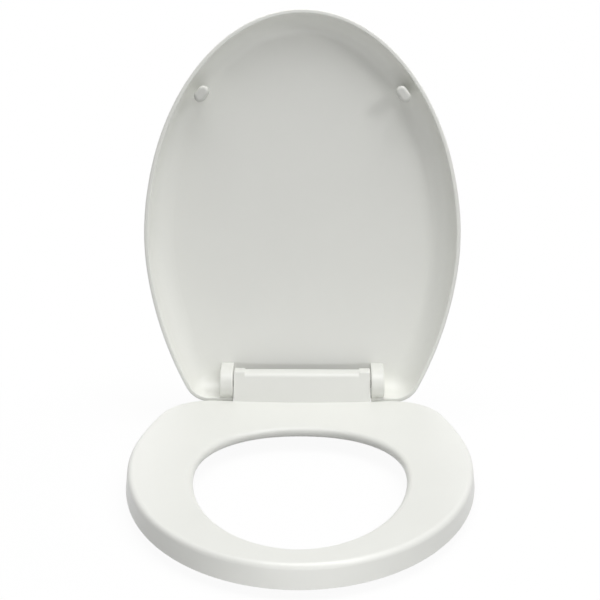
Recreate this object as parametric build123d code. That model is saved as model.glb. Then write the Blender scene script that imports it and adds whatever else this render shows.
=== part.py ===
from build123d import *

import os
from math import asin, cos, hypot, pi, radians, sin, sqrt, tan

# Toilet seat: lid and ring on one hinge axis, shown with the ring down and the lid open.
# Millimetres. X runs along the hinge axis, Y towards the back, Z up.
# Origin: on the pan's deck, midway between the two fixing holes, straight under the hinge axis.

# Hinge axis and the levels that hang on it
AXIS_Z = 50.0
OVERCUT = 1.0                   # cuts start this far outside a face
TOUCH = 0.1                     # faces and edges this near are the ones meant
RING_TOP = 34.0                 # top of the ring's front edge
RING_BOTTOM = 10.0              # lower edge of the ring's skirt
LID_OPEN = 96.0                 # lid's angle from closed, degrees

# Plan outline of ring and lid: half an ellipse in front, a straighter curve behind the widest line
WIDEST_Y = -173.0
FRONT_LENGTH = 264.0
REAR_LENGTH = 295.0
REAR_POWER = 1.75
OUTLINE_STEPS = 7               # points on each quarter of an outline

# Ring
RING_HALF_WIDTH = 182.5
RING_REAR_Y = -15.5
RING_CORNER = 64.0
RING_FLARE = 2.5                # how far the skirt spreads towards its lower edge
RING_WALL = 3.2
RING_EDGE_R = 5.5
RING_SPARE = 8.0                # walls are drawn this much too high, then cut to the dish
DISH_R = 2500.0                 # the ring's top is a shallow dish that falls towards the hole
DISH_Y = -225.0
DISH_MIDDLE = RING_TOP + sqrt(DISH_R**2 - (DISH_Y - WIDEST_Y + FRONT_LENGTH) ** 2)
HOLE_HALF_WIDTH = 111.5
HOLE_WIDEST_Y = -211.5
HOLE_FRONT = 186.0
HOLE_FRONT_POWER = 1.9
HOLE_REAR = 119.5
HOLE_REAR_POWER = 2.2
LIP_WALL = 7.0
LIP_BOTTOM = 18.0
LIP_TOP_R = 6.0
LIP_BOTTOM_R = 3.0
RIB_WALL = 2.4
RIB_LONG = 400.0                # past the ring's edge from the middle of its dish
RIB_RISE = 9.0                  # ribs stop this far above the skirt's lower edge
RIB_ANGLES = (18, 50, 76, 104, 130, 162, 200, 232, 255, 285, 308, 340)

# Hinge block on the ring's rear edge
BLOCK_HALF = 81.0
BLOCK_TOP = 16.0                # above the axis
BLOCK_REAR = 8.0                # behind the axis
BLOCK_FRONT_Y = -20.0           # where the block's front meets the ring's top
BLOCK_SLOPE = 70.0              # of the front, degrees from level
BLOCK_SUNK = 2.0                # how far its foot reaches below the ring's top wall
BLOCK_BACK_LOW = -6.0           # lower end of its back, from the axis
BLOCK_CHIN = (2.0, -11.5)       # bend of its underside, from the axis
BLOCK_WALL = 3.0
BLOCK_TOP_R = 2.0
BLOCK_CREST_R = 8.0             # front of the bar's roof
BLOCK_CORNER_R = 10.0
COLLAR_WIDTH = 13.0
COLLAR_RISE = 1.4
WEB_WALL = 3.0
WEB_PLACES = (14.0, 41.0)       # damper seats, from the middle
WEB_SPAN = 30.0                 # depth and height that a seat's web may fill
WEB_MIDDLE = (-10.0, 3.0)
FAR = 40.0                      # from the axis, beyond every face of the block and the lid's rear

# Lid, in the closed position and measured from the axis
LID_HALF_WIDTH = 184.0
LID_REAR_Y = 19.2
LID_CORNER = 31.0
LID_RIM = -12.5
LID_CROWN = 28.0                # outside of the panel at its middle
LID_CROWN_R = 5000.0
LID_SPARE = 6.0                 # walls are drawn this much too high, then cut to the crown
LID_DRAFT = 4.0
LID_WALL = 4.6
LID_PANEL = 3.2
LID_SHOULDER = 28.0
LID_COVE = 26.0
LUG_GAP = 0.8
LUG_WIDTH = 15.4
LUG_R = 18.4
LUG_ROOT = 22.0
LUG_EDGE_R = 1.6
LUG_SPARE = 2.0                 # lugs are drawn this far past the panel, then cut to it
NOTCH_Y = -10.0
RIM_EDGE_R = 1.2

# Buffers
LID_PAD_X = 115.0
LID_PAD_Y = -342.0
LID_PAD_LONG = 20.0
LID_PAD_WIDE = 13.0
LID_PAD_TURN = 54.0             # degrees that the pad's long side turns to follow the rim
LID_PAD_GAP = 0.3               # over the ring's highest place under the pad
LID_PAD_EDGE_R = 4.0
LID_BOSS_Z = 42.0               # underside of the pad's boss, lid closed
LID_BOSS_INSET = 2.0            # boss inside the pad's edge
RING_PAD_LONG = 40.0
RING_PAD_WIDE = 14.0
RING_PAD_TOP = 15.0
RING_PADS = {                   # place and turn of each pad under the ring
    "front_left": (-117.0, -332.0, 50.0),
    "front_right": (117.0, -332.0, -50.0),
    "rear_left": (-138.0, -98.0, -72.0),
    "rear_right": (138.0, -98.0, 72.0),
}
PAD_STEM_R = 3.0
PAD_STEM_LONG = 6.0
PAD_FIT = 0.05
END_ROOM = 0.5                  # beyond the ends of stems and shafts
RING_PAD_EDGE_R = 2.0

# Fixing feet
HOLE_SPACING = 155.0
SLOT_R = 4.5
SLOT_LONG = 21.0
FOOT_INNER = 46.0
FOOT_OUTER = 97.0
FOOT_DEEP = 30.0
FOOT_CORNER = 8.0
FOOT_TOP = 6.5
FOOT_PAD = 1.5
POST_INNER = 51.0
POST_OUTER = 64.0
POST_FRONT = -7.0               # the post stands forward of the axis, so the folded lid clears it
POST_REAR = 4.0
POST_ROOT_R = 2.5
BARREL_R = 9.6

# Rotary dampers, measured from the middle of the seat along the axis
SHAFT_R = 5.0
SHAFT_FLAT = 3.8                # half the width across the flats
SHAFT_END = 94.0
RUNNING_GAP = 0.15
LOCK_GAP = 0.05
HOUSING_R = 9.5
HOUSING_INNER = 6.0
HOUSING_OUTER = 50.0
HOUSING_WALL = 2.0
CAP_LONG = 7.0
ROTOR_GAP = 0.3
SEAL_R = 0.7
KEY_WIDE = 3.0
KEY_TOP = 12.0
KEY_GAP = 0.1
ROUND_NECK = 0.4                # round part of the right shaft outside its housing


def outline(half_width, widest_y, front, rear, powers, rear_y=None, corner=0.0):
    """Face of an egg outline; a straight rear edge with rounded corners cuts it where rear_y is given."""
    last = pi / 2
    if rear_y is not None:
        last = asin(((rear_y - widest_y) / rear) ** (powers[1] / 2))

    def place(angle):
        length, power = (-front, powers[0]) if angle < 0 else (rear, powers[1])
        across = half_width * max(cos(angle), 0.0) ** (2 / power)
        return Vector(across, widest_y + length * abs(sin(angle)) ** (2 / power))

    right = [place(-pi / 2 * (1 - i / OUTLINE_STEPS)) for i in range(1, OUTLINE_STEPS)]
    right += [place(last * i / OUTLINE_STEPS) for i in range(OUTLINE_STEPS + 1)]
    left = [Vector(-point.X, point.Y) for point in reversed(right)]
    tip = Vector(0, widest_y - front)
    if rear_y is None:
        half = Spline(tip, *right, tangents=[(1, 0), (-1, 0)], tangent_scalars=[1, 1])
        return make_face([half, half.mirror(Plane.YZ)])
    face = make_face([Spline(*left, tip, *right), Line(right[-1], left[0])])
    return fillet(face.vertices(), corner)


def egg(half_width, rear_y, corner, inset):
    """Plan outline of the ring or the lid, drawn in by inset."""
    return outline(
        half_width - inset, WIDEST_Y, FRONT_LENGTH - inset, REAR_LENGTH - inset,
        (2.0, REAR_POWER), rear_y - inset, corner - inset,
    )


def hole(grow):
    """Plan outline of the ring's hole, widened by grow."""
    return outline(
        HOLE_HALF_WIDTH + grow, HOLE_WIDEST_Y, HOLE_FRONT + grow, HOLE_REAR + grow,
        (HOLE_FRONT_POWER, HOLE_REAR_POWER),
    )


def tapered(plan, inset_low, z_low, inset_high, z_high):
    """Solid with straight drafted walls between two drawn-in outlines of one plan."""
    low = Pos(Z=z_low) * egg(*plan, inset_low)
    high = Pos(Z=z_high) * egg(*plan, inset_high)
    return loft([low, high], ruled=True)


def along_x(profile, x_from, x_to):
    """Extrude a profile drawn in (y, z) about the hinge axis from one x to another."""
    start = Plane((x_from, 0, AXIS_Z), x_dir=(0, 1, 0), z_dir=(1, 0, 0))
    return extrude(start * profile, x_to - x_from)


def rod(radius, x_from, x_to):
    return along_x(Circle(radius), x_from, x_to)


def flatted(radius, half_flat, x_from, x_to):
    """Rod with two flats."""
    return along_x(Circle(radius) & Rectangle(2 * half_flat, 2 * radius), x_from, x_to)


def polygon(*points):
    return make_face(Polyline(*points, close=True))


def dish(offset):
    """Ball whose underside is the ring's top, offset towards the pan."""
    return Pos(0, DISH_Y, DISH_MIDDLE) * Rot(X=90) * Sphere(DISH_R + offset)


def dish_top(x, y):
    """Height of the ring's top at a place."""
    return DISH_MIDDLE - sqrt(DISH_R**2 - x**2 - (y - DISH_Y) ** 2)


def ball_edges(solid):
    """Edges around a solid's spherical face."""
    return solid.faces().filter_by(GeomType.SPHERE)[0].edges()


def pad_stem():
    """Stem that holds a pad in its boss."""
    return Cylinder(PAD_STEM_R, PAD_STEM_LONG, align=(Align.CENTER, Align.CENTER, Align.MIN))


def stem_socket():
    """Round hole for a pad's stem, centred on the boss's face."""
    return Cylinder(PAD_STEM_R + PAD_FIT, 2 * (PAD_STEM_LONG + END_ROOM))


def block_profile(top, wall=0.0):
    """Side view of the block: its front leans back from the ring's top to a level roof."""
    level = RING_TOP - AXIS_Z
    foot = level - RING_WALL - BLOCK_SUNK
    front = BLOCK_FRONT_Y + wall / sin(radians(BLOCK_SLOPE))
    roof = top - wall
    lean = 1 / tan(radians(BLOCK_SLOPE))
    return polygon(
        (front + lean * (foot - level), foot), (front + lean * (roof - level), roof), (BLOCK_REAR, roof),
        (BLOCK_REAR, BLOCK_BACK_LOW), BLOCK_CHIN, (RING_REAR_Y + 1, foot),
    )


def hollow_profile():
    """Inside of the block: open to the back and below."""
    floor = RING_TOP - AXIS_Z + BLOCK_SUNK
    room = polygon(
        (-FAR, floor), (-FAR, FAR), (FAR, FAR), (FAR, -FAR), (RING_REAR_Y, -FAR), (RING_REAR_Y, floor),
    )
    roof = BLOCK_TOP - BLOCK_WALL
    behind = polygon((0, roof), (FAR, roof), (FAR, -FAR), (0, -FAR))
    return room & (block_profile(BLOCK_TOP, BLOCK_WALL) + behind)


def damper_seats():
    """Webs in the block with a round seat for each damper and a slot for its key."""
    seats = []
    within = hollow_profile() & (Pos(*WEB_MIDDLE) * Rectangle(WEB_SPAN, WEB_SPAN))
    key = Rectangle(KEY_WIDE + 2 * KEY_GAP, KEY_TOP + 2 * KEY_GAP)
    bore = Circle(HOUSING_R + PAD_FIT) + Pos(0, KEY_TOP / 2) * key
    for side in (-1, 1):
        for place in WEB_PLACES:
            middle = side * place
            seats.append(along_x(within - bore, middle - WEB_WALL / 2, middle + WEB_WALL / 2))
    return seats


def block_collar():
    """Right end of the block, a little higher than the rest, with its front corner rounded."""
    body = along_x(block_profile(BLOCK_TOP + COLLAR_RISE), BLOCK_HALF - COLLAR_WIDTH, BLOCK_HALF)
    corner = body.faces().sort_by(Axis.X)[-1].edges().sort_by(Axis.Y)[0]
    body = fillet(corner, BLOCK_CORNER_R)
    crest = body.faces().sort_by(Axis.Z)[-1].edges().sort_by(Axis.X)[1:]
    return fillet(crest, BLOCK_TOP_R)


def make_block():
    """Hinge block, a bar between two collars, before it is hollowed."""
    profile = block_profile(BLOCK_TOP)
    profile = fillet(profile.vertices().sort_by(Axis.Y)[-2:].sort_by(Axis.X)[:1], BLOCK_CREST_R)
    profile = fillet(profile.vertices().sort_by(Axis.Y)[-2:].sort_by(Axis.X)[1:], BLOCK_TOP_R)
    inner = BLOCK_HALF - COLLAR_WIDTH
    end = block_collar()
    return along_x(profile, -inner, inner) + end + end.mirror(Plane.YZ)


def make_ring():
    """The ring with its block, open underneath, with ribs and sockets for its pads."""
    above = RING_TOP + RING_SPARE
    draw_in = RING_FLARE / (RING_TOP - RING_BOTTOM) * RING_SPARE
    plan = (RING_HALF_WIDTH, RING_REAR_Y, RING_CORNER)
    shell = tapered(plan, -RING_FLARE, RING_BOTTOM, draw_in, above)
    shell -= dish(0)
    shell = fillet(ball_edges(shell), RING_EDGE_R)

    # Hole with its rounded lip
    shell -= Pos(Z=RING_BOTTOM - OVERCUT) * extrude(hole(0), AXIS_Z)
    top = shell.faces().filter_by(GeomType.SPHERE)[0]
    shell = fillet(top.inner_wires()[0].edges(), LIP_TOP_R)
    shell -= Pos(Z=RING_BOTTOM - OVERCUT) * extrude(hole(LIP_WALL), LIP_BOTTOM - RING_BOTTOM + OVERCUT)
    level = (LIP_BOTTOM - TOUCH, LIP_BOTTOM + TOUCH)
    lip = shell.faces().filter_by(Plane.XY).filter_by_position(Axis.Z, *level)[0]
    shell = fillet(lip.inner_wires()[0].edges(), LIP_BOTTOM_R)

    shell += make_block()

    # Underside
    cavity = tapered(plan, RING_WALL - RING_FLARE, RING_BOTTOM, RING_WALL + draw_in, above)
    cavity -= dish(RING_WALL)
    cavity = fillet(ball_edges(cavity), RING_EDGE_R - RING_WALL)
    cavity -= Pos(Z=LIP_BOTTOM) * extrude(hole(LIP_WALL), AXIS_Z)
    for angle in RIB_ANGLES:
        rib = Box(RIB_LONG, RIB_WALL, AXIS_Z, align=(Align.MIN, Align.CENTER, Align.MIN))
        cavity -= Pos(0, DISH_Y, RING_BOTTOM + RIB_RISE) * Rot(Z=angle) * rib
    for x, y, turn in RING_PADS.values():
        boss = extrude(SlotOverall(RING_PAD_LONG, RING_PAD_WIDE), AXIS_Z)
        cavity -= Pos(x, y, RING_PAD_TOP) * Rot(Z=turn) * boss
    shell -= cavity
    for x, y, _ in RING_PADS.values():
        shell -= Pos(x, y, RING_PAD_TOP) * stem_socket()

    # Inside of the block
    inner = BLOCK_HALF - COLLAR_WIDTH
    shell -= along_x(hollow_profile(), -inner, inner)
    for seat in damper_seats():
        shell += seat
    shell -= rod(SHAFT_R + RUNNING_GAP, -BLOCK_HALF - OVERCUT, -inner + OVERCUT)
    shell -= rod(SHAFT_R + RUNNING_GAP, inner - OVERCUT, BLOCK_HALF + OVERCUT)
    return shell


def crown(offset):
    """Ball whose top is the outside of the lid's panel, offset outwards."""
    middle_y = (WIDEST_Y - FRONT_LENGTH + LID_REAR_Y) / 2
    return Pos(0, middle_y, AXIS_Z + LID_CROWN - LID_CROWN_R) * Rot(X=90) * Sphere(LID_CROWN_R + offset)


def lid_dome(inset, below, panel, shoulder):
    """Solid dome of the lid, drawn in by inset, with its shoulder rounded."""
    low = AXIS_Z + LID_RIM - below
    high = AXIS_Z + LID_CROWN + LID_SPARE
    plan = (LID_HALF_WIDTH, LID_REAR_Y, LID_CORNER)
    dome = tapered(plan, inset, low, inset + LID_DRAFT, high) & crown(-panel)
    return fillet(ball_edges(dome), shoulder)


def lid_pad_place(side, z):
    return Pos(side * LID_PAD_X, LID_PAD_Y, z) * Rot(Z=side * LID_PAD_TURN)


def lug(side):
    """Hinge lug: a plate with a round end about the axis, splayed out to its root in the panel."""
    root = LID_CROWN + LUG_SPARE
    end = Circle(LUG_R).edges()
    profile = make_hull(end + Line((-LUG_ROOT, root), (LID_REAR_Y, root)).edges())
    inner = BLOCK_HALF + LUG_GAP
    plate = along_x(profile, inner, inner + LUG_WIDTH)
    rounded = [
        edge for edge in plate.edges()
        if edge.bounding_box().size.X < TOUCH and edge.center().Z < AXIS_Z + root - TOUCH
    ]
    plate = fillet(rounded, LUG_EDGE_R)
    return plate if side > 0 else plate.mirror(Plane.YZ)


def make_lid():
    """The lid, closed: a dish with a broad cove, lugs, a notch for the block and bosses for its pads."""
    outside = lid_dome(0, 0, 0, LID_SHOULDER)
    shell = outside - lid_dome(LID_WALL, OVERCUT, LID_PANEL, LID_COVE)
    rim = shell.faces().filter_by(Plane.XY).sort_by(Axis.Z)[0]
    shell = fillet(rim.edges(), RIM_EDGE_R)
    gap = 2 * (BLOCK_HALF + LUG_GAP)
    notch = Box(gap, 2 * FAR, 2 * FAR, align=(Align.CENTER, Align.MIN, Align.CENTER))
    shell -= Pos(0, NOTCH_Y, AXIS_Z) * notch
    boss = SlotOverall(LID_PAD_LONG - 2 * LID_BOSS_INSET, LID_PAD_WIDE - 2 * LID_BOSS_INSET)
    deep = lid_dome(0, LUG_R, 0, LID_SHOULDER)
    for side in (-1, 1):
        shell += lug(side) & deep
        pillar = lid_pad_place(side, LID_BOSS_Z) * extrude(boss, AXIS_Z)
        shell += pillar & outside
        shell -= lid_pad_place(side, LID_BOSS_Z) * stem_socket()
    mouth = BLOCK_HALF + LUG_GAP - OVERCUT
    bottom = SHAFT_END + END_ROOM
    shell -= rod(SHAFT_R + RUNNING_GAP, mouth, bottom)
    shell -= flatted(SHAFT_R + LOCK_GAP, SHAFT_FLAT + LOCK_GAP, -bottom, -mouth)
    return shell


def make_lid_pad(side):
    """Oval pad on the lid, just clear of the ring when the lid is closed."""
    reach = hypot(LID_PAD_X, LID_PAD_Y - DISH_Y) + LID_PAD_LONG / 2
    foot = dish_top(reach, DISH_Y) + LID_PAD_GAP
    pad = extrude(SlotOverall(LID_PAD_LONG, LID_PAD_WIDE), LID_BOSS_Z - foot)
    pad = fillet(pad.faces().sort_by(Axis.Z)[0].edges(), LID_PAD_EDGE_R)
    return lid_pad_place(side, foot) * (pad + Pos(Z=LID_BOSS_Z - foot) * pad_stem())


def make_ring_pad(x, y, turn):
    """Pad between the ring and the pan, with a stem pressed into its boss."""
    pad = extrude(SlotOverall(RING_PAD_LONG, RING_PAD_WIDE), RING_PAD_TOP)
    pad = fillet(pad.faces().sort_by(Axis.Z)[0].edges(), RING_PAD_EDGE_R)
    return Pos(x, y) * Rot(Z=turn) * (pad + Pos(Z=RING_PAD_TOP) * pad_stem())


def foot_plan(side):
    """Plan of a fixing foot with its slot."""
    plate = RectangleRounded(FOOT_OUTER - FOOT_INNER, FOOT_DEEP, FOOT_CORNER)
    slot = SlotOverall(SLOT_LONG, 2 * SLOT_R)
    plan = Pos((FOOT_INNER + FOOT_OUTER) / 2) * plate - Pos(HOLE_SPACING / 2) * slot
    return plan if side > 0 else plan.mirror(Plane.YZ)


def make_base(side):
    """Fixing foot with its post and barrel; the right barrel locks its shaft, the left one lets it turn."""
    body = Pos(Z=FOOT_PAD) * extrude(foot_plan(side), FOOT_TOP - FOOT_PAD)
    ends = sorted((side * POST_INNER, side * POST_OUTER))
    middle = Pos(sum(ends) / 2, (POST_FRONT + POST_REAR) / 2, FOOT_TOP)
    wide = POST_OUTER - POST_INNER
    deep = POST_REAR - POST_FRONT
    body += middle * extrude(Rectangle(wide, deep), AXIS_Z - FOOT_TOP)
    near = middle * Box(wide + 2 * TOUCH, deep + 2 * TOUCH, 2 * TOUCH)
    root = [edge for edge in body.edges() if near.is_inside(edge.center())]
    body = fillet(root, POST_ROOT_R)
    body += rod(BARREL_R, *ends)
    reach = (ends[0] - OVERCUT, ends[1] + OVERCUT)
    if side > 0:
        return body - flatted(SHAFT_R + LOCK_GAP, SHAFT_FLAT + LOCK_GAP, *reach)
    return body - rod(SHAFT_R + RUNNING_GAP, *reach)


def make_damper(side):
    """Housing, cap, seal and shaft of one rotary damper, drawn on the right and mirrored for the left."""
    bore = HOUSING_R - HOUSING_WALL
    floor = HOUSING_INNER + HOUSING_WALL
    cap_from = HOUSING_OUTER - CAP_LONG
    key = Rectangle(KEY_WIDE, KEY_TOP, align=(Align.CENTER, Align.MIN))
    housing = along_x(Circle(HOUSING_R) + key, HOUSING_INNER, HOUSING_OUTER) - rod(bore, floor, HOUSING_OUTER)
    seal_at = HOUSING_OUTER - CAP_LONG / 2
    groove_r = SHAFT_R + 2 * SEAL_R + 2 * LOCK_GAP
    cap = rod(bore - LOCK_GAP, cap_from, HOUSING_OUTER) - rod(SHAFT_R + RUNNING_GAP, cap_from, HOUSING_OUTER)
    cap -= rod(groove_r, seal_at - SEAL_R - LOCK_GAP, seal_at + SEAL_R + LOCK_GAP)
    seal = Pos(seal_at, 0, AXIS_Z) * Rot(Y=90) * Torus(SHAFT_R + LOCK_GAP + SEAL_R, SEAL_R)
    flat_from = HOUSING_OUTER + ROUND_NECK if side > 0 else BLOCK_HALF + LUG_GAP - END_ROOM
    shaft = rod(bore - ROTOR_GAP, floor + ROTOR_GAP, cap_from - ROTOR_GAP)
    shaft += rod(SHAFT_R, cap_from - OVERCUT, flat_from)
    shaft += flatted(SHAFT_R, SHAFT_FLAT, flat_from, SHAFT_END)
    pieces = {"damper_housing": housing, "damper_cap": cap, "damper_seal": seal, "damper_shaft": shaft}
    if side < 0:
        pieces = {name: piece.mirror(Plane.YZ) for name, piece in pieces.items()}
    return pieces


def opened(piece):
    """Swing a piece of the lid from closed to open about the hinge axis."""
    return Pos(Z=AXIS_Z) * Rot(X=-LID_OPEN) * Pos(Z=-AXIS_Z) * piece


nodes = {"ring": make_ring(), "lid": opened(make_lid())}
for name, place in RING_PADS.items():
    nodes["ring_buffer_" + name] = make_ring_pad(*place)
for hand, side in (("left", -1), ("right", 1)):
    nodes["lid_buffer_" + hand] = opened(make_lid_pad(side))
    nodes["hinge_base_" + hand] = make_base(side)
    nodes["base_pad_" + hand] = extrude(foot_plan(side), FOOT_PAD)
    for name, piece in make_damper(side).items():
        held_by_lid = name == "damper_shaft" and hand == "left"
        nodes[name + "_" + hand] = opened(piece) if held_by_lid else piece

os.makedirs("parts", exist_ok=True)
for name, node in nodes.items():
    export_step(node, os.path.join("parts", name + ".step"))
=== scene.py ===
from typing import NamedTuple

import bmesh
import bpy
from bpy.props import FloatProperty, FloatVectorProperty, PointerProperty
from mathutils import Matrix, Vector


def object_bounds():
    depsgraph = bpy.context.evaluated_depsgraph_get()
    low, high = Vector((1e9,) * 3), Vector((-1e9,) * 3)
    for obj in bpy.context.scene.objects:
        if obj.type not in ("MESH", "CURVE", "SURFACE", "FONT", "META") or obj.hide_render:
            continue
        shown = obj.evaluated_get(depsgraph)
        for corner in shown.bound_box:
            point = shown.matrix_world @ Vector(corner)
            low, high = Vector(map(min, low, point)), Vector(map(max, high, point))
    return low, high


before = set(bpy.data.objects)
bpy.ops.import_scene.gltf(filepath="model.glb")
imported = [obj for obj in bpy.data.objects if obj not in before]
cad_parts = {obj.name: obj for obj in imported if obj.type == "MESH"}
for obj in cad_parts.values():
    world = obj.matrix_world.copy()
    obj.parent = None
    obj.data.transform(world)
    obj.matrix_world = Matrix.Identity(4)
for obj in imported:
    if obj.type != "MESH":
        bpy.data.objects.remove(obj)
CAD_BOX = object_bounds()

bl_info = {
    "name": "Toilet Seat",
    "version": (1, 0, 0),
    "blender": (4, 5, 0),
    "location": "View3D > Sidebar > Seat",
    "description": "Finishes, stage and camera of a toilet seat with a soft-close lid",
    "category": "Object",
}

SHELLS = ("ring", "lid")
HANDS = ("left", "right")
RING_BUFFER_PLACES = ("front_left", "front_right", "rear_left", "rear_right")

# Finishes: names of the nodes that the materials share, and values that are the same all over a surface
SHADER = "Principled BSDF"
SKIN = "skin"
SKIN_BUMP = "skin_bump"
WHITE = (1.0, 1.0, 1.0, 1.0)
BUMP_STRENGTH = 0.5
SHELL_IOR = 1.5
SHELL_ROUGHNESS_SPREAD = 0.05
BUFFER_CLOUD = 0.15
BUFFER_CLOUD_DEPTH = 0.002

# Stage: metres, and millimetres for the camera's sensor
FLOOR_REACH = 6.0
FLOOR_CELLS = 8
SENSOR_WIDTH = 36.0


class Softbox(NamedTuple):
    """Where a lamp stands, how wide and high it is, and whether gloss shows it or it is a plain fill."""

    place: tuple
    size: tuple
    glints: bool = True


TOP_LIGHT = Softbox(place=(0.2, -0.3, 1.9), size=(1.5, 1.5))
SIDE_LIGHT = Softbox(place=(0.8, -0.4, 1.6), size=(1.0, 1.0))
KEY_LIGHT = Softbox(place=(1.2, -1.2, 1.3), size=(0.4, 0.4))
BACK_LIGHT = Softbox(place=(-0.5, 1.8, 1.3), size=(1.7, 1.7), glints=False)
STRIP_LIGHT = Softbox(place=(0.0, -0.8, 0.03), size=(0.5, 0.04))
STRIP_AIM_HEIGHT = 0.015


def colour_property(name, description, default):
    """A colour that the user may change."""
    return FloatVectorProperty(
        name=name, description=description, default=default, subtype="COLOR", size=3, min=0.0, max=1.0
    )


def place_property(name, description, default):
    """A point of the stage, in metres."""
    return FloatVectorProperty(
        name=name, description=description, default=default, subtype="TRANSLATION", unit="LENGTH", size=3
    )


def distance_property(name, description, default):
    """A distance on the stage, in metres."""
    return FloatProperty(name=name, description=description, default=default, min=0.0, unit="LENGTH")


def share_property(name, description, default):
    """A share from 0 to 1."""
    return FloatProperty(
        name=name, description=description, default=default, subtype="FACTOR", min=0.0, max=1.0
    )


def watts_property(name, description, default):
    """Power of a lamp."""
    return FloatProperty(name=name, description=description, default=default, min=0.0, unit="POWER")


class SeatFinish(bpy.types.PropertyGroup):
    """Colours and polish of the seat's own finishes."""

    shell: colour_property("Shell", "White of the ring and the lid", (0.875, 0.88, 0.84))
    shell_roughness: share_property("Shell roughness", "Roughness of the polished moulding", 0.28)
    buffer: colour_property("Buffers", "White of the soft pads on lid and ring", (0.70, 0.705, 0.67))
    foot: colour_property("Feet", "Colour of the fixing feet", (0.80, 0.80, 0.77))
    foot_pad: colour_property("Foot pads", "Colour of the rubber under the feet", (0.035, 0.035, 0.036))
    damper: colour_property("Dampers", "Colour of the damper housings and caps", (0.55, 0.56, 0.55))
    shaft: colour_property("Shafts", "Colour of the damper shafts", (0.30, 0.31, 0.31))
    seal: colour_property("Seals", "Colour of the damper seals", (0.012, 0.012, 0.012))


class SeatStage(bpy.types.PropertyGroup):
    """Floor, light and camera around the seat."""

    floor: colour_property("Floor", "Colour of the floor", (0.5, 0.5, 0.5))
    floor_white: share_property("Floor white", "How far the floor goes to white near the seat, in view", 0.94)
    floor_near: distance_property("Shadow reach", "Distance at which the floor starts to go all white", 0.27)
    floor_far: distance_property("White from", "Distance from which the floor is all white", 0.5)
    ambient: share_property("Ambient", "Strength of the light from all round", 0.25)
    top_watts: watts_property("Top light", "Power of the large softbox overhead", 22.5)
    side_watts: watts_property("Side light", "Power of the softbox high on the right", 3.0)
    key_watts: watts_property("Key light", "Power of the small softbox in front on the right", 4.8)
    back_watts: watts_property("Back light", "Power of the softbox behind the lid", 10.0)
    strip_watts: watts_property("Strip light", "Power of the low strip in front of the ring", 0.52)
    eye: place_property("Camera", "Where the camera stands", (0.01515, -1.5314, 0.588))
    aim: place_property("Aim", "What the camera looks at", (-0.00249, 0.0, 0.15374))
    lens: FloatProperty(
        name="Lens", description="Focal length of the camera", default=81.5, min=1.0, unit="CAMERA"
    )


def new_node(tree, kind, **values):
    """Add a node and set its fields and unlinked inputs by name."""
    node = tree.nodes.new(kind)
    for name, value in values.items():
        if name in node.inputs:
            node.inputs[name].default_value = value
        else:
            setattr(node, name, value)
    return node


def object_place(tree):
    """Output that gives each point's place on its own piece, in metres."""
    return new_node(tree, "ShaderNodeTexCoord").outputs["Object"]


def new_group(name, inputs, outputs):
    """Empty shader node group with named sockets; returns the tree and its two end nodes."""
    tree = bpy.data.node_groups.new(name, "ShaderNodeTree")
    for label, kind, default in inputs:
        socket = tree.interface.new_socket(label, in_out="INPUT", socket_type=kind)
        socket.default_value = default
    for label, kind in outputs:
        tree.interface.new_socket(label, in_out="OUTPUT", socket_type=kind)
    return tree, tree.nodes.new("NodeGroupInput"), tree.nodes.new("NodeGroupOutput")


def moulded_skin():
    """Node group: the slightly uneven colour, gloss and skin of a moulding."""
    name = "moulded_skin"
    if name in bpy.data.node_groups:
        return bpy.data.node_groups[name]
    tree, given, result = new_group(
        name,
        [
            ("Colour", "NodeSocketColor", (0.8, 0.8, 0.8, 1.0)),
            ("Mottle", "NodeSocketFloat", 0.03),
            ("Mottle Scale", "NodeSocketFloat", 25.0),
            ("Roughness Low", "NodeSocketFloat", 0.2),
            ("Roughness High", "NodeSocketFloat", 0.3),
            ("Skin Scale", "NodeSocketFloat", 400.0),
        ],
        [("Colour", "NodeSocketColor"), ("Roughness", "NodeSocketFloat"), ("Height", "NodeSocketFloat")],
    )
    link = tree.links.new
    place = object_place(tree)

    flow = new_node(tree, "ShaderNodeTexNoise", Detail=4.0, Roughness=0.55, Distortion=0.6)
    link(place, flow.inputs["Vector"])
    link(given.outputs["Mottle Scale"], flow.inputs["Scale"])
    darker = new_node(tree, "ShaderNodeMath", operation="SUBTRACT")
    darker.inputs[0].default_value = 1.0
    link(given.outputs["Mottle"], darker.inputs[1])
    shade = new_node(tree, "ShaderNodeMapRange", **{"From Min": 0.3, "From Max": 0.7, "To Max": 1.0})
    link(flow.outputs["Fac"], shade.inputs["Value"])
    link(darker.outputs[0], shade.inputs["To Min"])
    tint = new_node(tree, "ShaderNodeMix", data_type="RGBA", blend_type="MULTIPLY")
    tint.inputs["Factor"].default_value = 1.0
    link(given.outputs["Colour"], tint.inputs["A"])
    link(shade.outputs["Result"], tint.inputs["B"])
    link(tint.outputs["Result"], result.inputs["Colour"])

    sheen = new_node(tree, "ShaderNodeTexNoise", Scale=60.0, Detail=6.0, Roughness=0.7)
    link(place, sheen.inputs["Vector"])
    polish = new_node(tree, "ShaderNodeMapRange", **{"From Min": 0.35, "From Max": 0.65})
    link(sheen.outputs["Fac"], polish.inputs["Value"])
    link(given.outputs["Roughness Low"], polish.inputs["To Min"])
    link(given.outputs["Roughness High"], polish.inputs["To Max"])
    link(polish.outputs["Result"], result.inputs["Roughness"])

    peel = new_node(tree, "ShaderNodeTexNoise", Detail=2.0, Roughness=0.5)
    link(place, peel.inputs["Vector"])
    link(given.outputs["Skin Scale"], peel.inputs["Scale"])
    link(peel.outputs["Fac"], result.inputs["Height"])
    return tree


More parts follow.
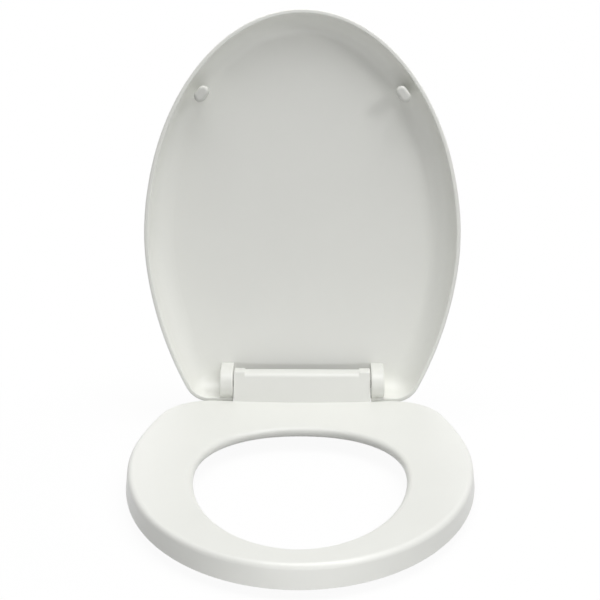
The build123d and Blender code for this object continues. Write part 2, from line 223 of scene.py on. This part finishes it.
def hairlines():
    """Node group: faint wiping marks that lift the roughness along thin curved lines."""
    name = "hairlines"
    if name in bpy.data.node_groups:
        return bpy.data.node_groups[name]
    tree, given, result = new_group(
        name,
        [("Roughness", "NodeSocketFloat", 0.2), ("Depth", "NodeSocketFloat", 0.08)],
        [("Roughness", "NodeSocketFloat")],
    )
    link = tree.links.new
    place = object_place(tree)
    lines = new_node(
        tree, "ShaderNodeTexWave", wave_type="RINGS", rings_direction="SPHERICAL",
        Scale=90.0, Distortion=14.0, Detail=3.0, **{"Detail Scale": 0.6},
    )
    link(place, lines.inputs["Vector"])
    thin = new_node(tree, "ShaderNodeMapRange", **{"From Min": 0.97, "From Max": 1.0})
    link(lines.outputs["Fac"], thin.inputs["Value"])
    patches = new_node(tree, "ShaderNodeTexNoise", Scale=14.0, Detail=2.0)
    link(place, patches.inputs["Vector"])
    some = new_node(tree, "ShaderNodeMapRange", **{"From Min": 0.5, "From Max": 0.75})
    link(patches.outputs["Fac"], some.inputs["Value"])
    seen = new_node(tree, "ShaderNodeMath", operation="MULTIPLY")
    link(thin.outputs["Result"], seen.inputs[0])
    link(some.outputs["Result"], seen.inputs[1])
    raised = new_node(tree, "ShaderNodeMath", operation="MULTIPLY_ADD")
    link(seen.outputs[0], raised.inputs[0])
    link(given.outputs["Depth"], raised.inputs[1])
    link(given.outputs["Roughness"], raised.inputs[2])
    link(raised.outputs[0], result.inputs["Roughness"])
    return tree


def placed_group(tree, group, **values):
    """Place a node group in a material with its own values."""
    node = tree.nodes.new("ShaderNodeGroup")
    node.node_tree = group
    for name, value in values.items():
        node.inputs[name.replace("_", " ").title()].default_value = value
    return node


def moulded_material(name, colour, roughness, skin_scale, skin_depth, mottle, mottle_scale):
    """Principled material on the moulded skin group, whose nodes later steps find by name."""
    material = bpy.data.materials.new(name)
    material.use_nodes = True
    tree = material.node_tree
    link = tree.links.new
    shader = tree.nodes[SHADER]
    skin = placed_group(
        tree, moulded_skin(), colour=(*colour, 1.0), mottle=mottle, mottle_scale=mottle_scale,
        roughness_low=roughness[0], roughness_high=roughness[1], skin_scale=skin_scale,
    )
    skin.name = SKIN
    bump = new_node(tree, "ShaderNodeBump", name=SKIN_BUMP, Strength=BUMP_STRENGTH, Distance=skin_depth)
    link(skin.outputs["Colour"], shader.inputs["Base Color"])
    link(skin.outputs["Roughness"], shader.inputs["Roughness"])
    link(skin.outputs["Height"], bump.inputs["Height"])
    link(bump.outputs["Normal"], shader.inputs["Normal"])
    return material


def wipe(material, depth):
    """Lay wiping marks over a moulding's own roughness."""
    tree = material.node_tree
    marks = placed_group(tree, hairlines(), depth=depth)
    tree.links.new(tree.nodes[SKIN].outputs["Roughness"], marks.inputs["Roughness"])
    tree.links.new(marks.outputs["Roughness"], tree.nodes[SHADER].inputs["Roughness"])


def shell_plastic(finish):
    """Polished white moulding of ring and lid."""
    low = finish.shell_roughness
    material = moulded_material(
        "shell_plastic", finish.shell, roughness=(low, low + SHELL_ROUGHNESS_SPREAD),
        skin_scale=260.0, skin_depth=0.00002, mottle=0.015, mottle_scale=9.0,
    )
    wipe(material, depth=0.07)
    material.node_tree.nodes[SHADER].inputs["IOR"].default_value = SHELL_IOR
    return material


def buffer_rubber(finish):
    """Soft white pad, slightly cloudy."""
    material = moulded_material(
        "buffer_rubber", finish.buffer, roughness=(0.42, 0.55),
        skin_scale=900.0, skin_depth=0.00003, mottle=0.05, mottle_scale=120.0,
    )
    shader = material.node_tree.nodes[SHADER]
    shader.inputs["Subsurface Weight"].default_value = BUFFER_CLOUD
    shader.inputs["Subsurface Radius"].default_value = (BUFFER_CLOUD_DEPTH,) * 3
    return material


def foot_plastic(finish):
    """Satin white moulding of the fixing feet."""
    material = moulded_material(
        "foot_plastic", finish.foot, roughness=(0.36, 0.48),
        skin_scale=1200.0, skin_depth=0.00004, mottle=0.04, mottle_scale=60.0,
    )
    wipe(material, depth=0.15)
    return material


def foot_pad_rubber(finish):
    """Black rubber under the feet, with a fine grain."""
    return moulded_material(
        "foot_pad_rubber", finish.foot_pad, roughness=(0.7, 0.85),
        skin_scale=1800.0, skin_depth=0.0001, mottle=0.25, mottle_scale=160.0,
    )


def damper_plastic(finish):
    """Grey moulding of the damper housings and caps."""
    return moulded_material(
        "damper_plastic", finish.damper, roughness=(0.34, 0.46),
        skin_scale=1500.0, skin_depth=0.00004, mottle=0.06, mottle_scale=90.0,
    )


def shaft_plastic(finish):
    """Turned shaft with fine rings along the hinge axis."""
    material = moulded_material(
        "shaft_plastic", finish.shaft, roughness=(0.3, 0.42),
        skin_scale=1500.0, skin_depth=0.00004, mottle=0.08, mottle_scale=90.0,
    )
    tree = material.node_tree
    link = tree.links.new
    rings = new_node(
        tree, "ShaderNodeTexWave", wave_type="BANDS", bands_direction="X", Scale=420.0, Distortion=0.4
    )
    link(object_place(tree), rings.inputs["Vector"])
    both = new_node(tree, "ShaderNodeMath", operation="ADD")
    link(rings.outputs["Fac"], both.inputs[0])
    link(tree.nodes[SKIN].outputs["Height"], both.inputs[1])
    link(both.outputs[0], tree.nodes[SKIN_BUMP].inputs["Height"])
    return material


def seal_rubber(finish):
    """Oiled black ring between shaft and cap."""
    return moulded_material(
        "seal_rubber", finish.seal, roughness=(0.25, 0.4),
        skin_scale=2500.0, skin_depth=0.00003, mottle=0.2, mottle_scale=400.0,
    )


def finish_node(name, material):
    """Give a CAD node one material."""
    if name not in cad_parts:
        raise RuntimeError(f"the frame has no node named {name}")
    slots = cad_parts[name].data.materials
    slots.clear()
    slots.append(material)


class SEAT_OT_shells(bpy.types.Operator):
    """Finish the ring and the lid in polished white plastic"""

    bl_idname = "seat.shells"
    bl_label = "Ring and lid"

    def execute(self, context):
        material = shell_plastic(context.scene.seat_finish)
        for name in SHELLS:
            finish_node(name, material)
        return {"FINISHED"}


class SEAT_OT_buffers(bpy.types.Operator):
    """Finish the soft pads on the lid and under the ring"""

    bl_idname = "seat.buffers"
    bl_label = "Buffers"

    def execute(self, context):
        material = buffer_rubber(context.scene.seat_finish)
        for hand in HANDS:
            finish_node("lid_buffer_" + hand, material)
        for place in RING_BUFFER_PLACES:
            finish_node("ring_buffer_" + place, material)
        return {"FINISHED"}


class SEAT_OT_feet(bpy.types.Operator):
    """Finish the fixing feet and the rubber under them"""

    bl_idname = "seat.feet"
    bl_label = "Fixing feet"

    def execute(self, context):
        finish = context.scene.seat_finish
        plastic = foot_plastic(finish)
        rubber = foot_pad_rubber(finish)
        for hand in HANDS:
            finish_node("hinge_base_" + hand, plastic)
            finish_node("base_pad_" + hand, rubber)
        return {"FINISHED"}


class SEAT_OT_dampers(bpy.types.Operator):
    """Finish the rotary dampers in the hinge block"""

    bl_idname = "seat.dampers"
    bl_label = "Dampers"

    def execute(self, context):
        finish = context.scene.seat_finish
        plastic = damper_plastic(finish)
        shaft = shaft_plastic(finish)
        seal = seal_rubber(finish)
        for hand in HANDS:
            finish_node("damper_housing_" + hand, plastic)
            finish_node("damper_cap_" + hand, plastic)
            finish_node("damper_shaft_" + hand, shaft)
            finish_node("damper_seal_" + hand, seal)
        return {"FINISHED"}


def in_view(tree):
    """Output that is 1 for what the camera sees directly, in a gloss or through glass."""
    path = new_node(tree, "ShaderNodeLightPath")
    seen = path.outputs["Is Camera Ray"]
    for name in ("Is Glossy Ray", "Is Transmission Ray"):
        either = new_node(tree, "ShaderNodeMath", operation="MAXIMUM")
        tree.links.new(seen, either.inputs[0])
        tree.links.new(path.outputs[name], either.inputs[1])
        seen = either.outputs[0]
    return seen


def white_world(strength):
    """World that looks white and lights the seat with a plain soft ambient."""
    world = bpy.data.worlds.new("studio")
    bpy.context.scene.world = world
    world.use_nodes = True
    tree = world.node_tree
    ambient = tree.nodes["Background"]
    ambient.inputs["Color"].default_value = WHITE
    ambient.inputs["Strength"].default_value = strength
    white = new_node(tree, "ShaderNodeBackground", Color=WHITE, Strength=1.0)
    mix = new_node(tree, "ShaderNodeMixShader")
    tree.links.new(in_view(tree), mix.inputs["Fac"])
    tree.links.new(ambient.outputs[0], mix.inputs[1])
    tree.links.new(white.outputs[0], mix.inputs[2])
    tree.links.new(mix.outputs[0], tree.nodes["World Output"].inputs["Surface"])


def floor_paint(stage):
    """Matt floor that keeps a faint shadow near the seat and goes to white in view."""
    material = bpy.data.materials.new("floor")
    material.use_nodes = True
    tree = material.node_tree
    link = tree.links.new
    tree.nodes.remove(tree.nodes[SHADER])
    seen = in_view(tree)
    colour = new_node(tree, "ShaderNodeMix", data_type="RGBA", A=(*stage.floor, 1.0), B=WHITE)
    link(seen, colour.inputs["Factor"])
    matt = new_node(tree, "ShaderNodeBsdfDiffuse")
    link(colour.outputs["Result"], matt.inputs["Color"])
    white = new_node(tree, "ShaderNodeEmission", Color=WHITE, Strength=1.0)
    away = new_node(tree, "ShaderNodeVectorMath", operation="LENGTH")
    link(object_place(tree), away.inputs[0])
    share = new_node(
        tree, "ShaderNodeMapRange", interpolation_type="SMOOTHSTEP",
        **{"From Min": stage.floor_near, "From Max": stage.floor_far},
        **{"To Min": stage.floor_white, "To Max": 1.0},
    )
    link(away.outputs["Value"], share.inputs["Value"])
    shown = new_node(tree, "ShaderNodeMath", operation="MULTIPLY")
    link(share.outputs["Result"], shown.inputs[0])
    link(seen, shown.inputs[1])
    mix = new_node(tree, "ShaderNodeMixShader")
    link(shown.outputs[0], mix.inputs["Fac"])
    link(matt.outputs[0], mix.inputs[1])
    link(white.outputs[0], mix.inputs[2])
    link(mix.outputs[0], tree.nodes["Material Output"].inputs["Surface"])
    return material


def pale_floor(place, stage):
    """Flat floor under the seat."""
    mesh = bpy.data.meshes.new("floor")
    sheet = bmesh.new()
    bmesh.ops.create_grid(sheet, x_segments=FLOOR_CELLS, y_segments=FLOOR_CELLS, size=FLOOR_REACH)
    sheet.to_mesh(mesh)
    sheet.free()
    mesh.materials.append(floor_paint(stage))
    floor = bpy.data.objects.new("floor", mesh)
    floor.location = place
    bpy.context.scene.collection.objects.link(floor)


def stand(name, data, place, aim):
    """Put a lamp or a camera in its place, facing a point."""
    item = bpy.data.objects.new(name, data)
    item.location = place
    item.rotation_euler = (Vector(aim) - Vector(place)).to_track_quat("-Z", "Y").to_euler()
    bpy.context.scene.collection.objects.link(item)
    return item


def light_up(name, softbox, aim, watts):
    """Area light that faces a point."""
    data = bpy.data.lights.new(name, "AREA")
    data.shape = "RECTANGLE"
    data.size, data.size_y = softbox.size
    data.energy = watts
    light = stand(name, data, softbox.place, aim)
    light.visible_glossy = softbox.glints


def stand_camera(eye, aim, lens):
    """Camera at the photograph's viewing angle."""
    data = bpy.data.cameras.new("camera")
    data.lens = lens
    data.sensor_width = SENSOR_WIDTH
    bpy.context.scene.camera = stand("camera", data, eye, aim)


class SEAT_OT_stage(bpy.types.Operator):
    """Set up the floor, the soft light and the camera"""

    bl_idname = "seat.stage"
    bl_label = "Stage"

    def execute(self, context):
        stage = context.scene.seat_stage
        low, high = CAD_BOX
        middle = (low + high) / 2
        ring_front = (0.0, low.y, STRIP_AIM_HEIGHT)
        white_world(stage.ambient)
        pale_floor((middle.x, middle.y, low.z), stage)
        light_up("top_light", TOP_LIGHT, middle, stage.top_watts)
        light_up("side_light", SIDE_LIGHT, middle, stage.side_watts)
        light_up("key_light", KEY_LIGHT, middle, stage.key_watts)
        light_up("back_light", BACK_LIGHT, middle, stage.back_watts)
        light_up("strip_light", STRIP_LIGHT, ring_front, stage.strip_watts)
        stand_camera(stage.eye, stage.aim, stage.lens)
        context.scene.view_settings.view_transform = "Standard"
        return {"FINISHED"}


STEPS = (SEAT_OT_shells, SEAT_OT_buffers, SEAT_OT_feet, SEAT_OT_dampers, SEAT_OT_stage)


class SEAT_PT_panel(bpy.types.Panel):
    """Sidebar panel with the seat's finishes, stage and steps"""

    bl_idname = "SEAT_PT_panel"
    bl_label = "Toilet Seat"
    bl_space_type = "VIEW_3D"
    bl_region_type = "UI"
    bl_category = "Seat"

    def draw(self, context):
        layout = self.layout
        for group in (context.scene.seat_finish, context.scene.seat_stage):
            box = layout.box()
            for name in group.bl_rna.properties.keys():
                if name not in ("rna_type", "name"):
                    box.prop(group, name)
        for step in STEPS:
            layout.operator(step.bl_idname)


CLASSES = (SeatFinish, SeatStage, *STEPS, SEAT_PT_panel)


def register():
    """Make the classes known and hang both property groups on the scene."""
    for cls in CLASSES:
        bpy.utils.register_class(cls)
    bpy.types.Scene.seat_finish = PointerProperty(type=SeatFinish)
    bpy.types.Scene.seat_stage = PointerProperty(type=SeatStage)


def unregister():
    """Take back what register did, in reverse."""
    del bpy.types.Scene.seat_stage
    del bpy.types.Scene.seat_finish
    for cls in reversed(CLASSES):
        bpy.utils.unregister_class(cls)


def main():
    """Build the finished seat on its stage."""
    register()
    bpy.ops.seat.shells()
    bpy.ops.seat.buffers()
    bpy.ops.seat.feet()
    bpy.ops.seat.dampers()
    bpy.ops.seat.stage()


if __name__ == "__main__":
    main()
